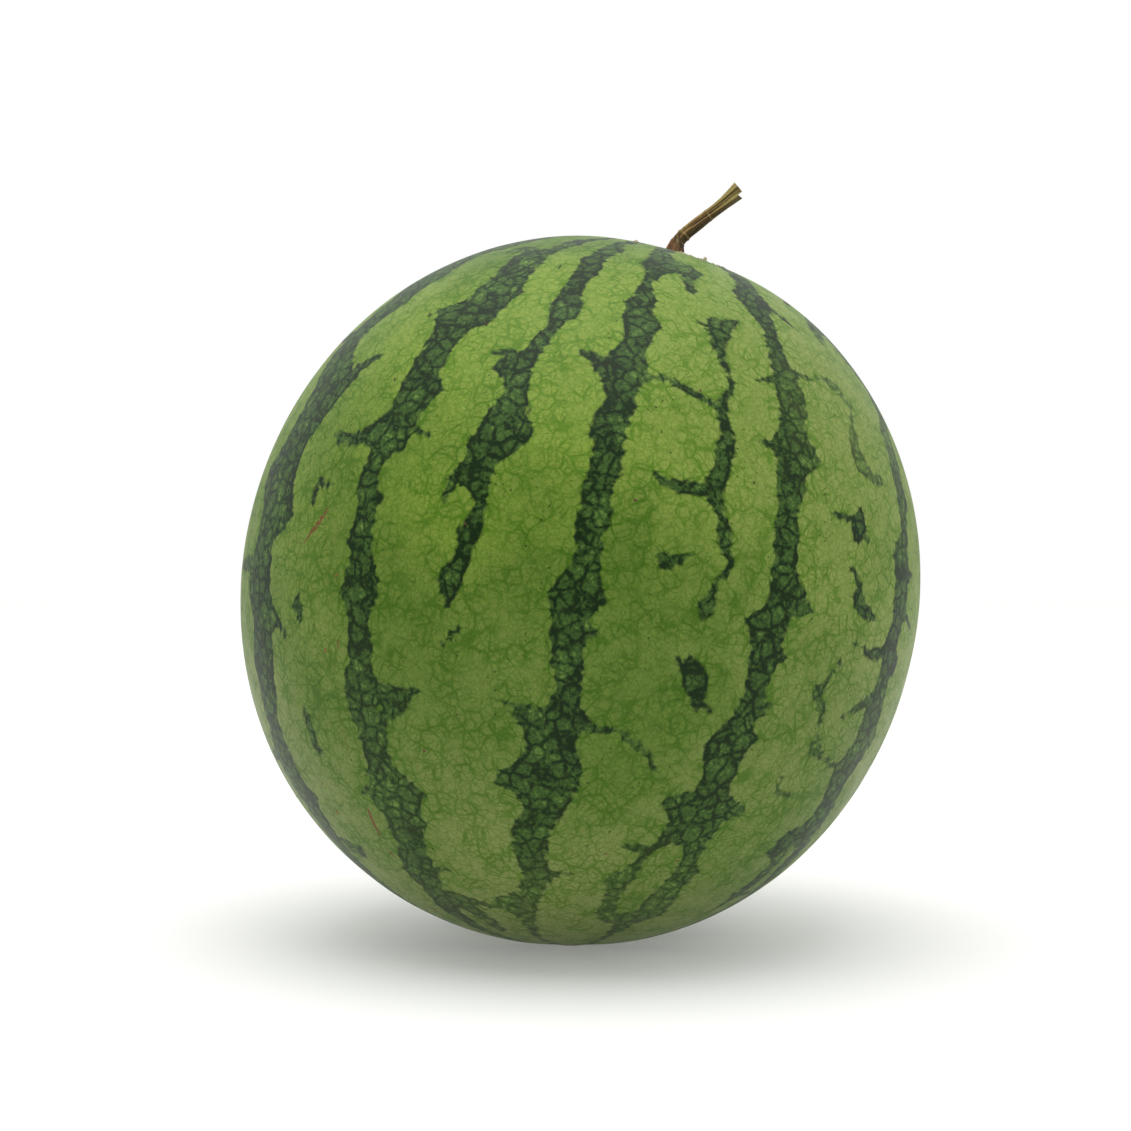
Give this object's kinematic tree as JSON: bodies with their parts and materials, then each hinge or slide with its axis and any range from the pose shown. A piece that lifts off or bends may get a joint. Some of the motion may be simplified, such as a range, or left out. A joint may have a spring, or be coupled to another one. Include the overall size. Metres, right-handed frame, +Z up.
{
  "type": "watermelon",
  "caption": "Whole round striped watermelon with a bent dry stem, standing upright on a small flat spot at its blossom end.",
  "frame": {"origin": "on the surface the fruit stands on, straight below the middle of the fruit", "axes": "+Z up; the front of the fruit faces -Y; the stem leans towards +X"},
  "size_m": [0.2386, 0.237, 0.2672],
  "materials": {
    "rind": "smooth waxy rind, yellow-green with dark green jagged stripes and a fine net of veins, satin sheen",
    "dry_stem": "dry, brown to olive, ridged and matt"
  },
  "bodies": {
    "root": {"fruit": "rind", "stem": "dry_stem"}
  },
  "joints": []
}
